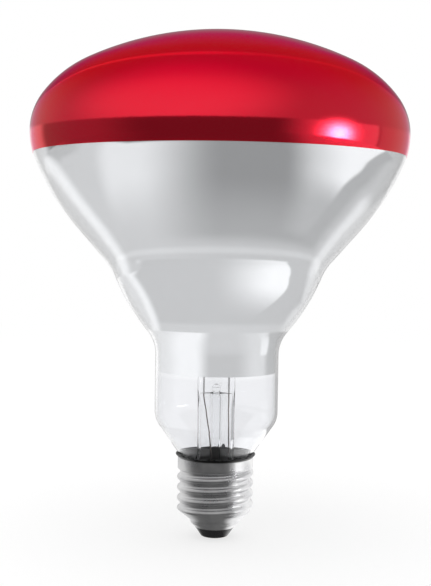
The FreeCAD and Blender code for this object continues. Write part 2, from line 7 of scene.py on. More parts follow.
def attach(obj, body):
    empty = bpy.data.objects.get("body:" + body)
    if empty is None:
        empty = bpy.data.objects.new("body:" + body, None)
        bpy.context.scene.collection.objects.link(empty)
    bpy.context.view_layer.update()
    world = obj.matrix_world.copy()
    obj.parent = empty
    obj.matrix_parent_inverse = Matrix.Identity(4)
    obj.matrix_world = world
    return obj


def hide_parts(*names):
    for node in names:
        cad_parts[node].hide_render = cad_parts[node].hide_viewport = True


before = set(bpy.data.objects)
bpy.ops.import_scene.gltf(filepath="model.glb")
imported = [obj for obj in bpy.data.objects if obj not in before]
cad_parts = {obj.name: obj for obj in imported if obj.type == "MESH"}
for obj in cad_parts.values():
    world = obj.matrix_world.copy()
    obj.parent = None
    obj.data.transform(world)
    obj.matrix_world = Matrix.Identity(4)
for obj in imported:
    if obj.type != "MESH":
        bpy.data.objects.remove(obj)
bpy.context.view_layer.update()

# Glass stem: a flared lead-glass tube whose hot top is pressed flat round the wires,
# with the thin exhaust tube inside it and a solid arbor rod fused on top.
# Drawn glass keeps faint lengthwise draw lines and has next to no tint.
MM = 0.001
STEM_PALE = (0.975, 0.98, 0.985)
STEM_CLEAR = (1.0, 1.0, 1.0)
STEM_IOR = 1.2
STEM_LINES = (900.0, 900.0, 40.0)
STEM_LINE_DEPTH = 0.02


class Socket:
    """One output of a shader tree. Arithmetic on it adds Math nodes, on either side of the sign."""

    def __init__(self, tree, end=None):
        self.tree = tree
        self.end = end

    def node(self, kind, settings=None, inputs=None, output=0):
        """A new node: its settings go on first, then each socket gets its value or link."""
        made = self.tree.nodes.new(kind)
        for name, value in (settings or {}).items():
            setattr(made, name, value)
        for name, value in (inputs or {}).items():
            if isinstance(value, Socket):
                self.tree.links.new(value.end, made.inputs[name])
            else:
                made.inputs[name].default_value = value
        return Socket(self.tree, made.outputs[output] if made.outputs else None)

    def maths(self, operation, *values):
        return self.node("ShaderNodeMath", {"operation": operation}, dict(enumerate(values)))

    def __add__(self, other):
        return self.maths("ADD", self, other)

    def __radd__(self, other):
        return self.maths("ADD", other, self)

    def __sub__(self, other):
        return self.maths("SUBTRACT", self, other)

    def __rsub__(self, other):
        return self.maths("SUBTRACT", other, self)

    def __mul__(self, other):
        return self.maths("MULTIPLY", self, other)

    def __rmul__(self, other):
        return self.maths("MULTIPLY", other, self)

    def rise(self, low, high):
        """0 below low, 1 above high, a smooth step between."""
        return self.node("ShaderNodeMapRange", {"interpolation_type": "SMOOTHSTEP"},
                         {"Value": self, "From Min": low, "From Max": high})

    def tint(self, dark, light):
        """A colour between two, by this value."""
        return self.node("ShaderNodeMix", {"data_type": "RGBA"},
                         {0: self, 6: (*dark, 1.0), 7: (*light, 1.0)}, 2)


def start_finish(name):
    """A new node material, the bare socket its nodes grow from, and the piece's own coordinates."""
    material = bpy.data.materials.new(name)
    material.use_nodes = True
    material.node_tree.nodes.clear()
    bare = Socket(material.node_tree)
    return material, bare, bare.node("ShaderNodeTexCoord", output="Object")


def close_finish(bare, inputs):
    """Join a Principled shader with these sockets to the material's output."""
    bare.node("ShaderNodeOutputMaterial",
              inputs={"Surface": bare.node("ShaderNodeBsdfPrincipled", inputs=inputs)})


def grain(bare, place, cells, detail=2.0):
    """Noise from 0 to 1 with so many cells a metre, one number or three for x, y and z."""
    cells = np.broadcast_to(cells, 3).tolist()
    stretched = bare.node("ShaderNodeMapping", inputs={"Vector": place, "Scale": cells})
    return bare.node("ShaderNodeTexNoise",
                     inputs={"Vector": stretched, "Scale": 1.0, "Detail": detail})


def raised(bare, height, depth):
    """A bump of a depth in millimetres from a height of 0 to 1."""
    return bare.node("ShaderNodeBump",
                     inputs={"Height": height, "Distance": depth * MM, "Strength": 1.0})


def dress(name, material):
    """Give a CAD node a finish in its own material slot."""
    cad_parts[name].material_slots[0].material = material


def make_stem_glass():
    """Clear glass with fine lines along the tube."""
    material, bare, place = start_finish("stem_glass")
    drawn = grain(bare, place, STEM_LINES)
    close_finish(bare, {
        "Base Color": drawn.tint(STEM_PALE, STEM_CLEAR),
        "Roughness": drawn * 0.03,
        "Transmission Weight": 1.0,
        "IOR": STEM_IOR,
        "Normal": raised(bare, drawn, STEM_LINE_DEPTH),
    })
    return material


stem_glass = make_stem_glass()
for stem_part in ("glass_stem", "exhaust_tube", "glass_arbor"):
    dress(stem_part, stem_glass)

# Wires of the mount: copper-clad seal wires in the press, nickel inner leads above it,
# copper leads below it and thin molybdenum supports in the arbor's button. All are drawn wire
# with fine lines along it; a borax skin lets the hot glass wet the seal wires, and their near-white
# colour is painted light for the light the stem glass keeps from them.
WIRE_LINES = (3000.0, 3000.0, 250.0)
WIRE_LINE_DEPTH = 0.015
WIRE_STAINS = 120.0
SUPPORTS = 4


def make_wire(name, dark, light, roughness, metallic=1.0):
    """Drawn metal wire, stained between two colours."""
    material, bare, place = start_finish(name)
    drawn = grain(bare, place, WIRE_LINES)
    stained = grain(bare, place, WIRE_STAINS)
    close_finish(bare, {
        "Base Color": stained.tint(dark, light),
        "Metallic": metallic,
        "Roughness": roughness + drawn * 0.15,
        "Normal": raised(bare, drawn, WIRE_LINE_DEPTH),
    })
    return material


copper_wire = make_wire("copper_wire", dark=(0.15, 0.12, 0.11), light=(0.30, 0.25, 0.23),
                        roughness=0.30)
nickel_wire = make_wire("nickel_wire", dark=(0.52, 0.51, 0.50), light=(0.72, 0.71, 0.69),
                        roughness=0.22)
support_wire = make_wire("support_wire", dark=(0.36, 0.36, 0.38), light=(0.55, 0.55, 0.57),
                         roughness=0.30)
# Seal wires: near white, painted light that makes up for the light the stem glass keeps from them.
seal_wire = make_wire("seal_wire", dark=(0.86, 0.84, 0.82), light=(0.96, 0.94, 0.92),
                      roughness=0.40, metallic=0.1)
for lead in ("seal_wire_left", "seal_wire_right"):
    dress(lead, seal_wire)
for lead in ("centre_lead", "shell_lead"):
    dress(lead, copper_wire)
for lead in ("inner_lead_left", "inner_lead_right"):
    dress(lead, nickel_wire)
for support in range(1, SUPPORTS + 1):
    dress(f"support_wire_{support}", support_wire)

# Filament: tungsten wire wound in a close coil, laid in an open ring and hung on the supports.
# Drawn tungsten is dark grey and fairly smooth.
RING_RADIUS = 14.0
RING_HEIGHT = 94.0
RING_GAP = math.radians(50.0)
COIL_RADIUS = 0.36
COIL_WIRE = 0.09
COIL_TURNS = 300
POINTS_A_TURN = 14
COIL_WIRE_SIDES = 6


def mesh_piece(name, points, faces, crease=40.0):
    """An object from points in millimetres and faces, smooth but for edges over crease degrees."""
    mesh = bpy.data.meshes.new(name)
    mesh.from_pydata(points * MM, [], faces.tolist())
    mesh.validate()
    mesh.polygons.foreach_set("use_smooth", np.ones(len(mesh.polygons), dtype=bool))
    mesh.set_sharp_from_angle(angle=math.radians(crease))
    piece = bpy.data.objects.new(name, mesh)
    bpy.context.scene.collection.objects.link(piece)
    return piece


def grid_faces(rows, columns, loop):
    """Quads of a grid that closes on itself along its columns and, if asked, along its rows."""
    index = np.arange(rows * columns).reshape(rows, columns)
    if loop:
        index = np.vstack([index, index[:1]])
    beside = np.roll(index, -1, axis=1)
    return np.stack([index[:-1], beside[:-1], beside[1:], index[1:]], axis=-1).reshape(-1, 4)


def wire_along(name, path, radius, sides):
    """A round wire on a path: path + radius (cos b side + sin b up), capped flat at both ends."""
    along = np.gradient(path, axis=0)
    along /= np.linalg.norm(along, axis=1, keepdims=True)
    side = np.cross(along, (0.0, 0.0, 1.0))
    side /= np.linalg.norm(side, axis=1, keepdims=True)
    up = np.cross(side, along)
    turn = np.linspace(0.0, 2.0 * np.pi, sides, endpoint=False)[None, :, None]
    rings = path[:, None] + radius * (np.cos(turn) * side[:, None] + np.sin(turn) * up[:, None])
    faces = grid_faces(len(path), sides, loop=False)
    ends = [np.arange(sides), np.arange(sides)[::-1] + (len(path) - 1) * sides]
    caps = np.concatenate([np.stack([np.full(sides - 2, end[0]), end[2:], end[1:-1]], axis=1)
                           for end in ends])
    faces = np.concatenate([faces[:, [0, 1, 2]], faces[:, [0, 2, 3]], caps])
    return mesh_piece(name, rings.reshape(-1, 3), faces)


def coiled_ring():
    """A helix of the coil's radius wound on an open ring:
    ring (sin a, -cos a, 0) + coil (cos w outward + sin w up), w growing with a."""
    share = np.linspace(0.0, 1.0, COIL_TURNS * POINTS_A_TURN + 1)
    a = RING_GAP / 2.0 + share * (2.0 * np.pi - RING_GAP)
    w = share * COIL_TURNS * 2.0 * np.pi
    outward = np.stack([np.sin(a), -np.cos(a), 0.0 * a], axis=1)
    reach = RING_RADIUS + COIL_RADIUS * np.cos(w)
    path = outward * reach[:, None]
    path[:, 2] = RING_HEIGHT + COIL_RADIUS * np.sin(w)
    return path


tungsten = make_wire("tungsten", dark=(0.16, 0.16, 0.17), light=(0.30, 0.30, 0.31), roughness=0.35)
filament_coil = wire_along("filament_coil", coiled_ring(), COIL_WIRE, COIL_WIRE_SIDES)
filament_coil.data.materials.append(tungsten)
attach(filament_coil, "root")
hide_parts("filament")

# Bulb: clear soft glass blown in one piece in a turned mould, from the shallow front
# dome over the rim and the reflector bowl to the waist, neck and sealed foot.
# Sizes in millimetres and degrees; a lean is how far a wall faces below level.
GIRTH_RADIUS = 63.3
GIRTH_HEIGHT = 136.5
FRONT_RADIUS = 103.8
BROW_RADIUS = 36.8
RIM_RADIUS = 20.0
RIM_SPAN = 36.0
BOWL_RADIUS = 26.9
BOWL_LEAN = 24.6
FLANK_RADIUS = 84.7
FLANK_LEAN = 41.5
WAIST_RADIUS = 16.8
WAIST_LEAN = 21.7
THROAT_RADIUS = 68.1
THROAT_LEAN = 40.2
NECK_FILLET = 12.5
NECK_RADIUS = 21.0
SHOULDER_RADIUS = 8.0
SHOULDER_LEAN = 35.0
LIP_GLASS_RADIUS = 12.55
SEAT_FILLET = 3.0
SEAT_RADIUS = 10.9
CAP_TOP = 28.4
SEAL_HEIGHT = 21.0
GLASS_WALL = 0.9
MIRROR_EDGE = 57.0
GLASS_SIDES = 192
ARC_STEP = math.radians(1.6)
ARC_RUN = 2.0
STRAIGHT_STEP = 1.2
NECK_TINT = (0.925, 0.930, 0.945)
BOWL_TINT = (0.985, 0.99, 1.0)
TINT_RUN = 2.0
GLASS_IOR = 1.52
GLASS_RIPPLE = (55.0, 55.0, 18.0)
GLASS_RIPPLE_DEPTH = 0.04
GLASS_DUST = 1500.0


def facing(angle):
    """Outward direction in the (radius, height) plane of a wall that faces an angle above level."""
    return np.stack([np.cos(angle), np.sin(angle)], axis=-1)


def shift(radius, start, end):
    """How far an arc goes while its facing turns: radius (n(end) - n(start)), hollow if negative."""
    return radius * (facing(end) - facing(start))


def mould_line():
    """The bulb's outer line from crown to foot, as points and the way each faces.
    It is drawn by strokes: arcs that turn the facing, and straight runs at right angles to it."""
    lean = [-math.radians(d) for d in (BOWL_LEAN, FLANK_LEAN, WAIST_LEAN, THROAT_LEAN, SHOULDER_LEAN)]
    bowl, flank, waist, throat, shoulder = lean
    span = math.radians(RIM_SPAN)
    rim_centre = np.array([GIRTH_RADIUS - RIM_RADIUS, GIRTH_HEIGHT])
    brow_centre = rim_centre - (BROW_RADIUS - RIM_RADIUS) * facing(span)
    crown = math.acos(brow_centre[0] / (FRONT_RADIUS - BROW_RADIUS))
    top = brow_centre[1] - (FRONT_RADIUS - BROW_RADIUS) * math.sin(crown) + FRONT_RADIUS
    arcs_in = (shift(BOWL_RADIUS, 0.0, bowl) + shift(FLANK_RADIUS, bowl, flank)
               + shift(-WAIST_RADIUS, flank, waist) + shift(THROAT_RADIUS, waist, throat)
               + shift(-NECK_FILLET, throat, 0.0))
    flank_run = (GIRTH_RADIUS + arcs_in[0] - NECK_RADIUS) / -math.sin(flank)
    neck_top = GIRTH_HEIGHT + arcs_in[1] - flank_run * math.cos(flank)
    seat_arcs = shift(SHOULDER_RADIUS, 0.0, shoulder) + shift(-SEAT_FILLET, shoulder, 0.0)
    cone_run = (NECK_RADIUS + seat_arcs[0] - SEAT_RADIUS) / -math.sin(shoulder)
    fillet = shift(-SEAT_FILLET, shoulder, 0.0)
    below_lip = (LIP_GLASS_RADIUS - SEAT_RADIUS + fillet[0]) / math.tan(-shoulder) - fillet[1]
    seat_top = CAP_TOP - below_lip
    neck_run = neck_top + seat_arcs[1] - cone_run * math.cos(shoulder) - seat_top
    strokes = [(FRONT_RADIUS, crown), (BROW_RADIUS, span), (RIM_RADIUS, 0.0), (BOWL_RADIUS, bowl),
               (FLANK_RADIUS, flank), (flank_run, None), (-WAIST_RADIUS, waist),
               (THROAT_RADIUS, throat), (-NECK_FILLET, 0.0), (neck_run, None),
               (SHOULDER_RADIUS, shoulder), (cone_run, None), (-SEAT_FILLET, 0.0),
               (seat_top - SEAL_HEIGHT, None)]
    angle = math.pi / 2.0
    points = [np.array([[0.0, top]])]
    angles = [np.array([angle])]
    for amount, turned_to in strokes:
        begin = points[-1][-1]
        if turned_to is None:
            steps = np.linspace(0.0, amount, 2 + int(amount / STRAIGHT_STEP))[1:]
            points.append(begin + steps[:, None] * np.array([math.sin(angle), -math.cos(angle)]))
            angles.append(np.full(len(steps), angle))
        else:
            swept = abs(turned_to - angle)
            steps = max(swept / ARC_STEP, swept * abs(amount) / ARC_RUN)
            turn = np.linspace(angle, turned_to, 2 + int(steps))[1:]
            points.append(begin + amount * (facing(turn) - facing(angle)))
            angles.append(turn)
            angle = turned_to
    return np.concatenate(points), facing(np.concatenate(angles))


def wall(outside, inside, top=None, bottom=None):
    """Closed line of a shell in the bulb's shape, between two depths under the mould line
    and, if given, two heights: down the outer face and back up the inner one."""
    keep = np.ones(len(LINE), dtype=bool)
    if top is not None:
        keep &= LINE[:, 1] < top
    if bottom is not None:
        keep &= LINE[:, 1] > bottom
    line, out = LINE[keep], FACING[keep]
    for height, at_foot in ((top, False), (bottom, True)):
        if height is not None:
            place = len(line) if at_foot else 0
            share = np.interp(-height, -LINE[:, 1], np.arange(len(LINE)))
            row, rest = int(share), share - int(share)
            point = LINE[row] + rest * (LINE[row + 1] - LINE[row])
            faced = FACING[row] + rest * (FACING[row + 1] - FACING[row])
            line = np.insert(line, place, point, axis=0)
            out = np.insert(out, place, faced, axis=0)
    return np.concatenate([line - outside * out, (line - inside * out)[::-1]])


def turned(name, profile, sides):
    """A (radius, height) line swept round the axis: (r cos a, r sin a, z).
    A line that starts and ends on the axis closes in two poles, any other joins its own start."""
    ahead = np.roll(profile, -1, axis=0)
    if np.sum(profile[:, 0] * ahead[:, 1] - ahead[:, 0] * profile[:, 1]) < 0.0:
        profile = profile[::-1]
    turn = np.linspace(0.0, 2.0 * np.pi, sides, endpoint=False)
    radius, height = profile[:, :1], profile[:, 1:]
    points = np.stack([radius * np.cos(turn), radius * np.sin(turn), height + 0.0 * turn], axis=-1)
    poles = profile[0, 0] == 0.0
    faces = grid_faces(len(profile), sides, loop=not poles)
    if poles:
        flat = np.where(np.arange(len(profile) * sides) < sides, 0, np.arange(len(profile) * sides))
        flat[-sides:] = (len(profile) - 1) * sides
        faces = flat[faces]
        caps = np.concatenate([faces[:sides][:, [0, 2, 3]], faces[-sides:][:, [0, 1, 2]]])
        body = faces[sides:-sides]
        faces = np.concatenate([caps, body[:, [0, 1, 2]], body[:, [0, 2, 3]]])
        used = np.unique(faces)
        renumber = np.zeros(len(flat), int)
        renumber[used] = np.arange(len(used))
        return mesh_piece(name, points.reshape(-1, 3)[used], renumber[faces])
    return mesh_piece(name, points.reshape(-1, 3), faces)


def axes(bare, place):
    """The three numbers of a vector."""
    return [bare.node("ShaderNodeSeparateXYZ", inputs={0: place}, output=name) for name in "XYZ"]


def make_bulb_glass():
    """Clear glass with mould ripples and a little dust, faintly grey below the mirror's edge."""
    material, bare, place = start_finish("bulb_glass")
    ripple = grain(bare, place, GLASS_RIPPLE)
    dust = grain(bare, place, GLASS_DUST)
    _, _, height = axes(bare, place)
    silvered = height.rise((MIRROR_EDGE - TINT_RUN) * MM, MIRROR_EDGE * MM)
    close_finish(bare, {
        "Base Color": (silvered + 0.1 * ripple).tint(NECK_TINT, BOWL_TINT),
        "Roughness": dust.rise(0.62, 0.85) * 0.06,
        "Transmission Weight": 1.0,
        "IOR": GLASS_IOR,
        "Normal": raised(bare, ripple, GLASS_RIPPLE_DEPTH),
    })
    return material


LINE, FACING = mould_line()
bulb_glass = turned("bulb_glass", wall(0.0, GLASS_WALL), GLASS_SIDES)
bulb_glass.data.materials.append(make_bulb_glass())
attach(bulb_glass, "root")
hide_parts("glass_bulb")

# Mirror: aluminium evaporated in vacuum on the inside of the bowl, from the girth
# down to an edge in the neck. It is seen through the glass.
MIRROR_GAP = 0.03
MIRROR_FILM = 0.03
MIRROR_DULL = (0.89, 0.895, 0.90)
MIRROR_BRIGHT = (0.94, 0.945, 0.95)
MIRROR_CLOUD = (38.0, 38.0, 22.0)
MIRROR_CLOUD_DEPTH = 0.12
MIRROR_HAZE = 420.0


def make_mirror_film():
    """Bright metal that follows the glass's faint waves, with a breath of haze."""
    material, bare, place = start_finish("mirror_film")
    cloud = grain(bare, place, MIRROR_CLOUD)
    haze = grain(bare, place, MIRROR_HAZE)
    close_finish(bare, {
        "Base Color": cloud.tint(MIRROR_DULL, MIRROR_BRIGHT),
        "Metallic": 1.0,
        "Roughness": 0.035 + haze * 0.03,
        "Normal": raised(bare, cloud, MIRROR_CLOUD_DEPTH),
    })
    return material


mirror_face = GLASS_WALL + MIRROR_GAP
mirror_wall = wall(mirror_face, mirror_face + MIRROR_FILM, top=GIRTH_HEIGHT, bottom=MIRROR_EDGE)
mirror_film = turned("mirror_film", mirror_wall, GLASS_SIDES)
mirror_film.data.materials.append(make_mirror_film())
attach(mirror_film, "root")
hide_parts("mirror_coat")

# Red front: heat-proof ruby lacquer sprayed on the outside of the dome and baked,
# down to a masked edge just under the girth.
LACQUER_FILM = 0.2
LACQUER_GAP = 0.01
LACQUER_EDGE = 129.5
RUBY_DEEP = (0.80, 0.002, 0.025)
RUBY_BRIGHT = (0.88, 0.003, 0.033)
RUBY_GLANCE = (1.0, 0.15, 0.42, 1.0)
RUBY_CLOUD = 26.0
ORANGE_PEEL = 700.0
ORANGE_PEEL_DEPTH = 0.006
GLOSS_LEAST = 0.10
GLOSS_MORE = 0.68
GLOSS_LEAST_FROM = 152.0
GLOSS_FULL_BELOW = 138.0


def make_red_lacquer():
    """Deep red that mirrors like the silvered glass under it, glossiest round the rim."""
    material, bare, place = start_finish("red_lacquer")
    cloud = grain(bare, place, RUBY_CLOUD)
    peel = grain(bare, place, ORANGE_PEEL)
    _, _, height = axes(bare, place)
    rim = height.rise(GLOSS_LEAST_FROM * MM, GLOSS_FULL_BELOW * MM)
    close_finish(bare, {
        "Base Color": cloud.tint(RUBY_DEEP, RUBY_BRIGHT),
        "Metallic": 1.0,
        "Roughness": 0.07 + peel * 0.05,
        "Specular Tint": RUBY_GLANCE,
        "Coat Weight": GLOSS_LEAST + GLOSS_MORE * rim,
        "Coat IOR": 1.4,
        "Coat Roughness": 0.03,
        "Normal": raised(bare, peel, ORANGE_PEEL_DEPTH),
    })
    return material


lacquer_wall = wall(-LACQUER_FILM, -LACQUER_GAP, bottom=LACQUER_EDGE)
red_lacquer = turned("red_lacquer", lacquer_wall, GLASS_SIDES)
red_lacquer.data.materials.append(make_red_lacquer())
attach(red_lacquer, "root")
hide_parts("red_front_coat")

# Screw shell: thin nickel-plated brass, drawn into a cup, the thread rolled into its wall
# and the lip flared, so that inside and outside carry the same thread.
SHELL_WALL = 0.3
SHELL_STEP = 0.155
SHELL_SIDES = 216
SHELL_BEND = 0.35
SHELL_CREASE = 35.0
LIP_RADIUS = 13.6
LIP_EDGE = 0.2
COLLAR_RADIUS = 12.85
COLLAR_BASE = 23.9
CORE_RADIUS = 12.004
CORE_BASE = 9.3
FOOT_RADIUS = 8.4
FOOT_RUN = 0.8
MOUTH_RADIUS = 6.9
CREST_RADIUS = 13.05
ROOT_RADIUS = 11.954
PITCH = 3.629
THREAD_ROUND = 1.025
FIRST_CREST = 3.984
TOP_FADE = 23.6
FOOT_FADE = 9.8
FOOT_FADE_SLOPE = 1.24
FOOT_FADE_RADIUS = 13.35
PLATE_DULL = (0.52, 0.52, 0.53)
PLATE_BRIGHT = (0.68, 0.68, 0.68)
PLATE_STAINS = 160.0
PLATE_SPOTS = 900.0
ROLLING_LINES = (60.0, 60.0, 2600.0)
ROLLING_DEPTH = 0.012
# Black painted shade on the lip: the dark line where the flared lip meets the glass.
PAINTED_SHADE = (0.025, 0.025, 0.025, 1.0)
PAINTED_SHADE_HEIGHT = (27.3, 27.6)
PAINTED_SHADE_FLARE = (-14.9, -14.75)
PAINTED_SHADE_EDGE = (27.9, 28.05)


def rounded(corners, reach, most=0.45, steps=6):
    """A line through corners, each inner one bent as (1-t)^2 A + 2 t (1-t) P + t^2 B, where A and B
    lie a reach before and after the corner P, or at most that share of the way to the next one."""
    corners = np.asarray(corners, float)
    inner = corners[1:-1]

    def toward(others):
        way = others - inner
        length = np.linalg.norm(way, axis=1, keepdims=True)
        return inner + way / length * np.minimum(reach, most * length)

    a, b = toward(corners[:-2]), toward(corners[2:])
    t = np.linspace(0.0, 1.0, steps)[None, :, None]
    bends = (1 - t) ** 2 * a[:, None] + 2 * t * (1 - t) * inner[:, None] + t ** 2 * b[:, None]
    return np.concatenate([corners[:1], bends.reshape(-1, 2), corners[-1:]])


def even(line, step):
    """The same line in steps of equal length."""
    run = np.concatenate([[0.0], np.cumsum(np.linalg.norm(np.diff(line, axis=0), axis=1))])
    stops = np.linspace(0.0, run[-1], 1 + int(run[-1] / step))
    return np.stack([np.interp(stops, run, line[:, 0]), np.interp(stops, run, line[:, 1])], axis=1)


def thread_radius(height, turn):
    """Rolled thread: at u mm from the crest a round of THREAD_ROUND out to a quarter pitch,
    then the same round hollow to the root; the crest climbs one pitch a turn, right handed."""
    phase = (height - FIRST_CREST) / PITCH - turn / (2.0 * np.pi)
    u = np.abs(phase - np.round(phase)) * PITCH
    crest = CREST_RADIUS - THREAD_ROUND + np.sqrt(np.maximum(THREAD_ROUND ** 2 - u ** 2, 0.0))
    v = PITCH / 2.0 - u
    root = ROOT_RADIUS + THREAD_ROUND - np.sqrt(np.maximum(THREAD_ROUND ** 2 - v ** 2, 0.0))
    return np.where(u < PITCH / 4.0, crest, root)


def shell_line():
    """Outer line of the shell without its thread, from the lip down to the mouth."""
    lip_drop = LIP_RADIUS - COLLAR_RADIUS
    core_top = COLLAR_BASE - (COLLAR_RADIUS - CORE_RADIUS)
    foot_top = CORE_BASE - (CORE_RADIUS - FOOT_RADIUS)
    foot_base = foot_top - FOOT_RUN
    corners = [(LIP_RADIUS, CAP_TOP), (LIP_RADIUS, CAP_TOP - LIP_EDGE),
               (COLLAR_RADIUS, CAP_TOP - LIP_EDGE - lip_drop), (COLLAR_RADIUS, COLLAR_BASE),
               (CORE_RADIUS, core_top), (CORE_RADIUS, CORE_BASE), (FOOT_RADIUS, foot_top),
               (FOOT_RADIUS, foot_base), (MOUTH_RADIUS, foot_base - (FOOT_RADIUS - MOUTH_RADIUS))]
    return even(rounded(corners, SHELL_BEND), SHELL_STEP)


def threaded_shell():
    """The shell's line pushed out to the thread where that stands proud of it, between the two
    cones that fade the thread out, and the same again one wall further in."""
    line = shell_line()
    along = np.gradient(line, axis=0)
    out = np.stack([-along[:, 1], along[:, 0]], axis=1) / np.linalg.norm(along, axis=1, keepdims=True)
    turn = np.linspace(0.0, 2.0 * np.pi, SHELL_SIDES, endpoint=False)[None, :]
    radius, height = line[:, :1], line[:, 1:]
    top_cone = COLLAR_RADIUS + TOP_FADE - height
    foot_cone = FOOT_FADE_RADIUS - (FOOT_FADE - height) * FOOT_FADE_SLOPE
    limit = np.minimum(top_cone, np.where(height < FOOT_FADE, foot_cone, CREST_RADIUS))
    proud = np.maximum(np.minimum(thread_radius(height, turn), limit) - radius, 0.0)
    proud = np.where(height < COLLAR_BASE, proud, 0.0)

    def face(depth):
        r = radius - depth * out[:, :1] + proud
        z = height - depth * out[:, 1:] + 0.0 * turn
        return np.stack([r * np.cos(turn), r * np.sin(turn), z], axis=-1)

    grid = np.concatenate([face(SHELL_WALL), face(0.0)[::-1]])
    faces = grid_faces(len(grid), SHELL_SIDES, loop=True)
    return mesh_piece("screw_shell", grid.reshape(-1, 3), faces, SHELL_CREASE)


def in_metres(edges):
    """Two heights in millimetres as metres."""
    return [edge * MM for edge in edges]


def covered(mask, under, colour):
    """One colour laid over another where the mask is 1."""
    return mask.node("ShaderNodeMix", {"data_type": "RGBA"}, {0: mask, 6: under, 7: colour}, 2)


def make_cap_metal():
    """Stained plating with fine rolling lines, and black painted shade on the lip's flare and its edge.
    The flare's outer face is told from the collar by its radius less its height."""
    material, bare, place = start_finish("cap_metal")
    rolled = grain(bare, place, ROLLING_LINES)
    stain = grain(bare, place, PLATE_STAINS)
    spots = grain(bare, place, PLATE_SPOTS)
    x, y, height = axes(bare, place)
    flare = bare.maths("SQRT", x * x + y * y) - height
    plated = stain.rise(0.3, 0.75).tint(PLATE_DULL, PLATE_BRIGHT)
    # Painted shade: black on the flare's outer face and on the lip's top edge.
    outside = height.rise(*in_metres(PAINTED_SHADE_HEIGHT)) * flare.rise(*in_metres(PAINTED_SHADE_FLARE))
    shaded_lip = bare.maths("MAXIMUM", outside, height.rise(*in_metres(PAINTED_SHADE_EDGE)))
    close_finish(bare, {
        "Base Color": covered(shaded_lip, plated, PAINTED_SHADE),
        "Metallic": 1.0,
        "Roughness": 0.22 + stain * 0.14 + spots.rise(0.6, 0.8) * 0.1,
        "Normal": raised(bare, rolled, ROLLING_DEPTH),
    })
    return material


screw_shell = threaded_shell()
screw_shell.data.materials.append(make_cap_metal())
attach(screw_shell, "root")
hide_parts("cap_shell")

# Foot of the cap: black glass poured molten into the shell's mouth, with a brass contact
# plate pressed into it. The poured glass keeps small pits, the brass is brushed by sockets.
JET_BLACK = (0.004, 0.004, 0.005)
JET_GREY = (0.012, 0.011, 0.012)
JET_FLOW = 300.0
JET_PITS = 1200.0
JET_PIT_DEPTH = 0.04
BRASS_BROWN = (0.50, 0.36, 0.16)
BRASS_YELLOW = (0.80, 0.62, 0.32)
BRASS_STAINS = 350.0
BRASS_RUBS = (2500.0, 300.0, 300.0)
BRASS_RUB_DEPTH = 0.02


def make_black_glass():
    """Opaque black glass, pitted and a little uneven where it flowed."""
    material, bare, place = start_finish("black_glass")
    pits = grain(bare, place, JET_PITS)
    flow = grain(bare, place, JET_FLOW)
    close_finish(bare, {
        "Base Color": flow.tint(JET_BLACK, JET_GREY),
        "Roughness": 0.18 + pits * 0.2,
        "Normal": raised(bare, pits.rise(0.55, 0.75) + flow, JET_PIT_DEPTH),
    })
    return material


def make_contact_brass():
    """Stained brass with rub marks across it."""
    material, bare, place = start_finish("contact_brass")
    rubbed = grain(bare, place, BRASS_RUBS)
    stain = grain(bare, place, BRASS_STAINS)
    close_finish(bare, {
        "Base Color": stain.tint(BRASS_BROWN, BRASS_YELLOW),
        "Metallic": 1.0,
        "Roughness": 0.25 + rubbed * 0.2,
        "Normal": raised(bare, rubbed, BRASS_RUB_DEPTH),
    })
    return material


dress("cap_insulator", make_black_glass())
dress("centre_contact", make_contact_brass())

# Cement and solder: a pale grey baked paste, its paleness partly painted light, holds the glass in the
# shell, with painted shade where it comes up to the lip, and two dabs of soft solder hold the leads, on
# the lip and in the contact.
# Pale greys: partly the cement's own colour and partly painted light for the light the glass keeps from
# it.
CEMENT_GREY = (0.54, 0.53, 0.515)
CEMENT_PALE = (0.72, 0.71, 0.69)
# Painted shade: darker grey at the cement's top, next to the shaded lip.
CEMENT_SHADE = (0.22, 0.22, 0.22, 1.0)
CEMENT_SHADE_FROM = (27.85, 28.05)
CEMENT_PATCHES = 260.0
CEMENT_GRIT = 2200.0
CEMENT_GRIT_DEPTH = 0.05
SOLDER_DULL = (0.50, 0.50, 0.52)
SOLDER_BRIGHT = (0.72, 0.72, 0.73)
SOLDER_PATCHES = 500.0
SOLDER_FROST = 1800.0
SOLDER_FROST_DEPTH = 0.03


def make_cement():
    """Gritty paste in two greys, partly painted light, with painted shade at its top."""
    material, bare, place = start_finish("cement")
    grit = grain(bare, place, CEMENT_GRIT, detail=4.0)
    paste_and_painted_light = grain(bare, place, CEMENT_PATCHES).tint(CEMENT_GREY, CEMENT_PALE)
    _, _, height = axes(bare, place)
    # Painted shade at the top of the cement.
    skin = height.rise(*in_metres(CEMENT_SHADE_FROM))
    close_finish(bare, {
        "Base Color": covered(skin, paste_and_painted_light, CEMENT_SHADE),
        "Roughness": 0.45 + grit * 0.3,
        "Normal": raised(bare, grit, CEMENT_GRIT_DEPTH),
    })
    return material


def make_solder():
    """Grey metal with a frosted skin."""
    material, bare, place = start_finish("solder")
    frost = grain(bare, place, SOLDER_FROST)
    patches = grain(bare, place, SOLDER_PATCHES)
    close_finish(bare, {
        "Base Color": patches.tint(SOLDER_DULL, SOLDER_BRIGHT),
        "Metallic": 1.0,
        "Roughness": 0.28 + frost * 0.2,
        "Normal": raised(bare, frost, SOLDER_FROST_DEPTH),
    })
    return material


dress("basing_cement", make_cement())
solder = make_solder()
for dab in ("contact_solder", "lip_solder"):
    dress(dab, solder)

# Reflector cards: rings of grey and white card round the bowl, the throat and the neck, and the
# table under the cap. Only the lamp's own reflections show them; to the eye they aren't there.
# A card's light goes by degrees round the lamp and by its reach, the metres from the axis.
CARD_SIDES = 96
BACK_WALL_EDGE = (148.0, 178.0)
BOWL_SWING = 20.0
BOWL_SWING_FROM = 0.045
THROAT_LEAN_A_METRE = 800.0
THROAT_BEND = 60000.0


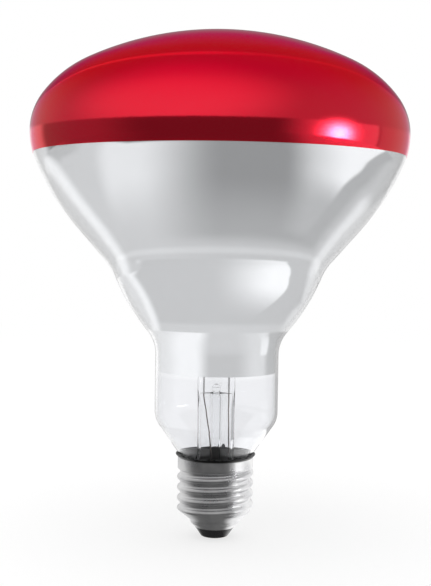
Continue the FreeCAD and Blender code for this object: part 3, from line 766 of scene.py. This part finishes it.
def between(value, left, right, soft):
    """1 between two edges, fading over soft on each side."""
    return value.rise(left - soft, left + soft) * value.rise(right + soft, right - soft)


def over(light, mask, level):
    """A level laid over a light where the mask is 1."""
    return light + mask * (level - light)


def layered(light, *layers):
    """Levels laid over a light one after another, each given as its mask and its level."""
    for mask, level in layers:
        light = over(light, mask, level)
    return light


def bearing(bare, x, y):
    """Degrees round the lamp, 0 towards the camera and 90 to its right."""
    return bare.maths("ARCTAN2", x, 0.0 - y) * (180.0 / math.pi)


def reflected_only(bare):
    """1 on a ray that a mirror has turned, 0 on one that came straight or through clear glass."""
    return bare.node("ShaderNodeLightPath", output="Glossy Depth").rise(0.0, 1.0)


def back_wall(light, degrees, level):
    """A grey panel straight behind the lamp, laid over a light."""
    return over(light, degrees.maths("ABSOLUTE", degrees).rise(*BACK_WALL_EDGE), level)


def bowl_card(degrees, reach):
    """The card that the bowl mirrors. left and right are bearings that swing by BOWL_SWING degrees
    each time the reach doubles, so that an edge on them mirrors as a strip along the flank."""
    swing = BOWL_SWING * reach.maths("LOGARITHM", reach * (1.0 / BOWL_SWING_FROM), 2.0)
    left = degrees + swing + 8.0
    right = degrees - swing + 5.0 * reach.rise(0.12, 0.085)
    middle = 0.46 - 0.13 * reach.rise(0.045, 0.085) + 0.17 * reach.rise(0.049, 0.0435)
    light = layered(
        middle,
        # pale left half, grey right half low down, white window high on the right
        (degrees.rise(3.0, -42.0), 0.68 + 0.20 * reach.rise(0.045, 0.09)),
        (degrees.rise(30.0, 50.0) * reach.rise(0.047, 0.052), 0.54),
        (degrees.rise(30.0, 75.0) * reach.rise(0.068, 0.098), 1.03),
        # right flank: dark strip past the window, bright strip, pale rim
        (right.rise(53.0, 57.0) * reach.rise(0.045, 0.05), 0.50),
        (right.rise(64.0, 76.0), 0.64),
        (between(right, 79.0, 95.0, 5.0) * reach.rise(0.125, 0.085), 0.92),
        (right.rise(91.0, 98.0), 0.79),
        # left flank: grey, darker far out, then bright strip, grey rim, white edge
        (degrees.rise(-56.0, -70.0), 0.69),
        (degrees.rise(-74.0, -90.0) * reach.rise(0.14, 0.17), 0.58),
        (left.rise(-57.0, -68.0) * reach.rise(0.34, 0.26), 1.02),
        (left.rise(-71.0, -81.0), 0.78),
        (left.rise(-106.0, -113.0), 1.05),
    )
    waist_line = 0.09 * between(reach, 0.0418, 0.0437, 0.0007)
    light = back_wall(light + waist_line, degrees, 0.40 + 0.25 * reach.rise(0.10, 0.05))
    # dark far edge in front, which carries on the studio's dark gap that the red rim mirrors
    dark = 0.175 + 0.14 * degrees.rise(-30.0, -70.0)
    sunk = reach + 0.0017 * degrees.maths("MINIMUM", degrees + 46.0, 0.0)
    return over(light, sunk.rise(0.148, 0.168) * between(degrees, -98.0, 36.0, 12.0), dark)


def throat_card(degrees, reach):
    """The card that the throat mirrors: a leaning bright strip on the left, a white window with a
    bent edge on the right and a pale side beyond it."""
    strip = degrees + THROAT_LEAN_A_METRE * (reach - 0.040)
    far = reach.maths("MINIMUM", reach, 0.044)
    short = 0.055 - reach
    edge = (degrees + THROAT_BEND * short * short).rise(67.5, 64.5)
    light = layered(
        0.63 + 0.08 * reach.rise(0.0285, 0.0265),
        (strip.rise(-61.0, -71.0), 1.02),
        (strip.rise(-73.0, -82.0), 0.84),
        (degrees.rise(-116.0, -126.0), 1.08),
        ((degrees - 1750.0 * far).rise(13.0, 26.0), 0.86),
        (degrees.rise(-8.0, 50.0) * edge * reach.rise(0.028, 0.050), 1.10),
    )
    return back_wall(light, degrees, 0.62)


def neck_card(degrees, reach):
    """The card that the silvered neck mirrors: white on the left, grey in the middle, pale on the
    right with a small window and a dark edge."""
    light = layered(
        0.70 - 0.08 * reach.rise(0.05, 0.15),
        (degrees.rise(-10.0, -40.0), 1.04),
        (degrees.rise(-66.0, -110.0), 0.88),
        (degrees.rise(30.0, 78.0), 0.81),
        (degrees.rise(94.0, 110.0), 0.58),
        (between(degrees, 85.0, 104.0, 4.0) * between(reach, 0.05, 0.16, 0.03), 1.0),
        (degrees.rise(-132.0, -146.0), 1.08),
    )
    return back_wall(light, degrees, 0.66)


def cap_shade(degrees, reach):
    """The card over the cap: grey in front, white on both sides."""
    light = layered(0.48, (degrees.rise(-50.0, -110.0), 1.0), (degrees.rise(40.0, 85.0), 1.3))
    return back_wall(light, degrees, 0.15)


def cap_table(degrees, reach):
    """The table under the cap: dark in front, white on both sides."""
    light = layered(0.10 + 0.06 * reach.rise(0.045, 0.02),
                    (degrees.rise(-60.0, -120.0), 0.95), (degrees.rise(35.0, 80.0), 1.35))
    return back_wall(light, degrees, 0.15)


def make_card(name, card_light):
    """A glowing card where a mirror looks at it, and nothing to any other ray."""
    material, bare, place = start_finish(name)
    x, y, _ = axes(bare, place)
    light = card_light(bearing(bare, x, y), bare.maths("SQRT", x * x + y * y))
    card = bare.node("ShaderNodeEmission", inputs={"Color": light, "Strength": 1.0})
    gone = bare.node("ShaderNodeBsdfTransparent")
    surface = bare.node("ShaderNodeMixShader", inputs={0: reflected_only(bare), 1: gone, 2: card})
    bare.node("ShaderNodeOutputMaterial", inputs={"Surface": surface})
    return material


def ring_card(name, height, inner, outer, card_light):
    """A flat ring (r cos a, r sin a, height) between two radii, seen by reflections alone."""
    turn = np.linspace(0.0, 2.0 * np.pi, CARD_SIDES, endpoint=False)
    radius = np.array([[inner], [outer]])
    level = np.full((2, CARD_SIDES), height)
    points = np.stack([radius * np.cos(turn), radius * np.sin(turn), level], axis=-1)
    card = mesh_piece(name, points.reshape(-1, 3), grid_faces(2, CARD_SIDES, loop=False))
    card.data.materials.append(make_card(name, card_light))
    card.visible_camera = False
    card.visible_diffuse = False
    card.visible_shadow = False


ring_card("bowl_card", height=85.5, inner=40.0, outer=290.0, card_light=bowl_card)
ring_card("throat_card", height=70.5, inner=24.4, outer=110.0, card_light=throat_card)
ring_card("neck_card", height=29.0, inner=26.0, outer=500.0, card_light=neck_card)
ring_card("cap_shade", height=28.6, inner=20.0, outer=500.0, card_light=cap_shade)
ring_card("cap_table", height=-0.1, inner=0.1, outer=400.0, card_light=cap_table)

# Floor: a white paper sheet under the lamp that runs out into the white backdrop.
# It takes the lamp's soft shadow, and reflections look past it to the cards and the studio.
FLOOR_HALF = 12.0
FLOOR_DROP = 0.0002
PAPER_GREY = (0.93, 0.93, 0.93)
PAPER_WHITE = (0.95, 0.95, 0.95)
PAPER_FIBRES = 400.0
SHEET_SHARE = 0.32
WHITE_FROM = (0.25, 0.9)


def make_floor():
    """Matt paper that shows the shadow near the lamp and fades into plain white further out."""
    material, bare, place = start_finish("white_sheet")
    x, y, _ = axes(bare, place)
    reach = bare.maths("SQRT", x * x + y * y)
    paper = grain(bare, place, PAPER_FIBRES).tint(PAPER_GREY, PAPER_WHITE)
    sheet = bare.node("ShaderNodeBsdfDiffuse", inputs={"Color": paper})
    white = bare.node("ShaderNodeEmission", inputs={"Color": (1.0, 1.0, 1.0, 1.0), "Strength": 1.0})
    whiter = (1.0 - SHEET_SHARE) + SHEET_SHARE * reach.rise(*WHITE_FROM)
    seen = bare.node("ShaderNodeMixShader", inputs={0: whiter, 1: sheet, 2: white})
    gone = bare.node("ShaderNodeBsdfTransparent")
    surface = bare.node("ShaderNodeMixShader", inputs={0: reflected_only(bare), 1: seen, 2: gone})
    bare.node("ShaderNodeOutputMaterial", inputs={"Surface": surface})
    return material


floor_corners = [(FLOOR_HALF * x, FLOOR_HALF * y, 0.0) for x, y in ((-1, -1), (1, -1), (1, 1), (-1, 1))]
floor_mesh = bpy.data.meshes.new("floor")
floor_mesh.from_pydata(floor_corners, [], [(0, 1, 2, 3)])
floor_mesh.materials.append(make_floor())
floor = bpy.data.objects.new("floor", floor_mesh)
floor.location.z = -FLOOR_DROP
bpy.context.scene.collection.objects.link(floor)

# Studio: a white backdrop; round the lamp, and shown only by reflections, a bright diffuser
# overhead, a dark gap at table height in front and a lamp box with a bare lamp on the right.
KEY_WAY = (-0.42, -0.74, 0.53)
KEY_SPREAD = (0.30, 0.97)
LAMP_WAY = (0.950, -0.292, -0.110)
LAMP_FOCUS = 100.0
LAMP_LIGHT = 30.0
LEAST_LIFT = 0.05
TABLE_LINE = (4.5, 6.5)
OVERHEAD_SIZE = 1.2
OVERHEAD_POWER = 5.0
OVERHEAD_PLACE = (-0.15, -0.25, 1.4)
OVERHEAD_TILT = (math.radians(10.0), math.radians(-6.0), 0.0)


def make_studio():
    """White to the eye and as the light on matt things; to a mirror, panels by bearing and lift."""
    world = bpy.data.worlds.new("studio")
    world.use_nodes = True
    world.node_tree.nodes.clear()
    bare = Socket(world.node_tree)
    way = bare.node("ShaderNodeTexCoord", output="Generated")
    x, y, z = axes(bare, way)
    degrees = bearing(bare, x, y)
    lift = bare.maths("ARCSINE", z) * (180.0 / math.pi)

    def nearness(target):
        return bare.node("ShaderNodeVectorMath", {"operation": "DOT_PRODUCT"},
                         {0: way, 1: target}, "Value")

    glow = nearness(KEY_WAY).rise(*KEY_SPREAD)
    lamp = bare.maths("MAXIMUM", nearness(LAMP_WAY), 0.0)
    # overhead diffuser, with a bright far edge along y = 1.2 x^2 + 0.43 on a ceiling at z = 1
    high = bare.maths("MAXIMUM", z, LEAST_LIFT)
    across = bare.maths("POWER", bare.maths("DIVIDE", x, high), 2.0)
    behind = bare.maths("DIVIDE", y, high) - 1.2 * across
    above = over(0.54 + glow * 0.42, behind.rise(0.42, 0.50), 0.34 + 0.18 * lift.rise(15.0, 40.0))
    above = above + 0.34 * between(behind, 0.38, 0.48, 0.04) * (1.0 - 0.6 * x.rise(-0.1, 0.2))
    # table height: dark gap in front, greys to both sides, lamp box on the right, white behind
    low = layered(
        0.175,
        (degrees.rise(-40.0, -80.0), 0.33),
        (degrees.rise(104.0, 110.0), 0.62),
        (degrees.rise(-124.0, -134.0), 0.80),
        (degrees.rise(30.0, 66.0) * degrees.rise(108.0, 104.0), 0.95),
        (bare.maths("ABSOLUTE", degrees).rise(150.0, 160.0), 1.0),
    )
    light = over(low, lift.rise(*TABLE_LINE), above)
    light = light + LAMP_LIGHT * bare.maths("POWER", lamp, LAMP_FOCUS)
    shown = over(1.0, reflected_only(bare), light)
    background = bare.node("ShaderNodeBackground", inputs={"Color": shown, "Strength": 1.0})
    bare.node("ShaderNodeOutputWorld", inputs={"Surface": background})
    return world


bpy.context.scene.world = make_studio()

overhead = bpy.data.lights.new("overhead", "AREA")
overhead.shape = "DISK"
overhead.size = OVERHEAD_SIZE
overhead.energy = OVERHEAD_POWER
overhead_lamp = bpy.data.objects.new("overhead", overhead)
overhead_lamp.location = OVERHEAD_PLACE
overhead_lamp.rotation_euler = OVERHEAD_TILT
overhead_lamp.visible_glossy = False
overhead_lamp.visible_transmission = False
bpy.context.scene.collection.objects.link(overhead_lamp)

# Camera: level with the bowl and 38 cm in front of the lamp's axis, tipped down slightly.
# Its small pan and roll set the lamp in the frame as in the photograph.
CAMERA_PLACE = (0.0, -0.380, 0.10197)
CAMERA_LENS = 68.68
CAMERA_NEAR = 0.01
CAMERA_PAN = 0.002
CAMERA_TIP = -0.049
CAMERA_ROLL = 0.014

camera = bpy.data.cameras.new("camera")
camera.lens = CAMERA_LENS
camera.clip_start = CAMERA_NEAR
camera_object = bpy.data.objects.new("camera", camera)
camera_object.matrix_world = (Matrix.Translation(CAMERA_PLACE)
                              @ Matrix.Rotation(CAMERA_PAN, 4, "Z")
                              @ Matrix.Rotation(math.pi / 2.0 + CAMERA_TIP, 4, "X")
                              @ Matrix.Rotation(CAMERA_ROLL, 4, "Z"))
bpy.context.scene.collection.objects.link(camera_object)
bpy.context.scene.camera = camera_object
bpy.context.scene.view_settings.view_transform = "Standard"

bpy.context.view_layer.update()
